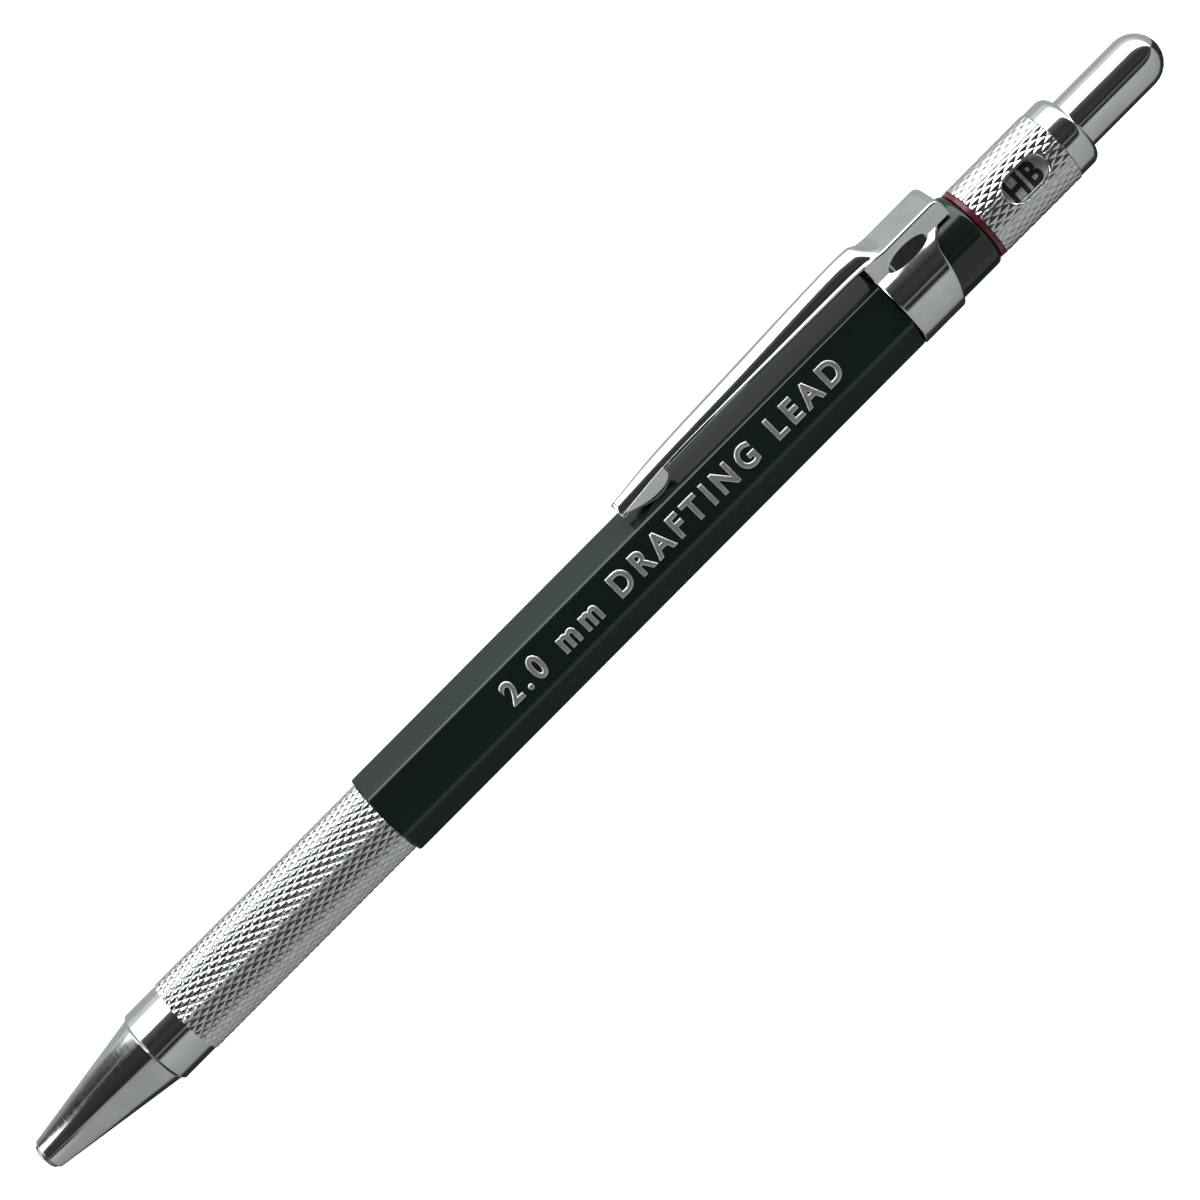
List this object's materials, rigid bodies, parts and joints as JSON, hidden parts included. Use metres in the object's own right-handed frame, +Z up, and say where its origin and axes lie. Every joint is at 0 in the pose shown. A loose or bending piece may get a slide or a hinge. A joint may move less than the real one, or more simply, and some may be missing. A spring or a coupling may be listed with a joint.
{
  "type": "clutch lead holder",
  "caption": "Clutch lead holder with a tapered nose, knurled grip, hexagonal barrel, pocket clip, turning lead-grade sleeve and push button.",
  "frame": {"origin": "the middle of the barrel's bottom flat, under the holder's axis, which is 4 mm above it", "axes": "+X along the holder from the tip towards the push button, +Z up through the lettered flat, +Y towards the side that carries the clip"},
  "size_m": [0.1451, 0.0116, 0.0095],
  "materials": {
    "chrome": "bright chrome plate over turned brass",
    "green_plastic": "very dark green polished ABS",
    "red_plastic": "dark red moulded plastic",
    "brass": "turned brass, unplated",
    "steel": "spring steel, bright",
    "satin_metal": "satin metal with black printed grade marks",
    "graphite": "extruded graphite lead"
  },
  "bodies": {
    "holder": {"nose_cone": "chrome", "grip": "chrome", "front_bush": "brass", "spring_seat": "steel", "return_spring": "steel", "barrel": "green_plastic", "rear_core": "brass", "marker_ring": "red_plastic", "friction_ring": "steel", "grade_drum": "satin_metal", "end_collar": "chrome", "clip_band": "chrome"},
    "plunger": {"collet_ring": "brass", "lead_tube": "brass", "tube_collar": "brass", "cap_seat": "brass"},
    "jaw_1": {"collet_jaw_1": "steel"},
    "jaw_2": {"collet_jaw_2": "steel"},
    "jaw_3": {"collet_jaw_3": "steel"},
    "lead_stick": {"lead": "graphite"},
    "button": {"push_button": "chrome", "pointer_body": "red_plastic", "pointer_blade": "steel"},
    "dial": {"grade_sleeve": "chrome"},
    "clip_spring": {"clip_arm": "chrome"}
  },
  "joints": [
    {"name": "button_push", "type": "slide", "parent": "holder", "child": "plunger", "axis": [-1, 0, 0], "range_m": [0, 0.0035], "stiffness_N_per_m": 400, "springref_m": -0.01, "deforming": ["return_spring"]},
    {"name": "jaw_1_open", "type": "hinge", "parent": "plunger", "child": "jaw_1", "pos_m": [-0.06455, 0, 0.00513], "axis": [0, 1, 0], "range_deg": [0, 0.55]},
    {"name": "jaw_2_open", "type": "hinge", "parent": "plunger", "child": "jaw_2", "pos_m": [-0.06455, -0.00098, 0.00344], "axis": [0, -0.5, 0.866], "range_deg": [0, 0.55]},
    {"name": "jaw_3_open", "type": "hinge", "parent": "plunger", "child": "jaw_3", "pos_m": [-0.06455, 0.00098, 0.00344], "axis": [0, -0.5, -0.866], "range_deg": [0, 0.55]},
    {"name": "lead_slide", "type": "slide", "parent": "plunger", "child": "lead_stick", "axis": [-1, 0, 0], "range_m": [0, 0.03]},
    {"name": "button_pull", "type": "slide", "parent": "plunger", "child": "button", "axis": [1, 0, 0], "range_m": [0, 0.025]},
    {"name": "sleeve_turn", "type": "hinge", "parent": "holder", "child": "dial", "pos_m": [0.04895, 0, 0.004], "axis": [1, 0, 0], "continuous": true},
    {"name": "clip_flex", "type": "hinge", "parent": "holder", "child": "clip_spring", "pos_m": [0.03465, 0.00658, 0.0078], "axis": [0, 0.5, -0.866], "range_deg": [0, 4], "stiffness_Nm_per_rad": 0.3}
  ],
  "couplings": [
    {"joint": "jaw_1_open", "follows": "button_push", "rad_per_m": 2.7},
    {"joint": "jaw_2_open", "follows": "button_push", "rad_per_m": 2.7},
    {"joint": "jaw_3_open", "follows": "button_push", "rad_per_m": 2.7}
  ]
}
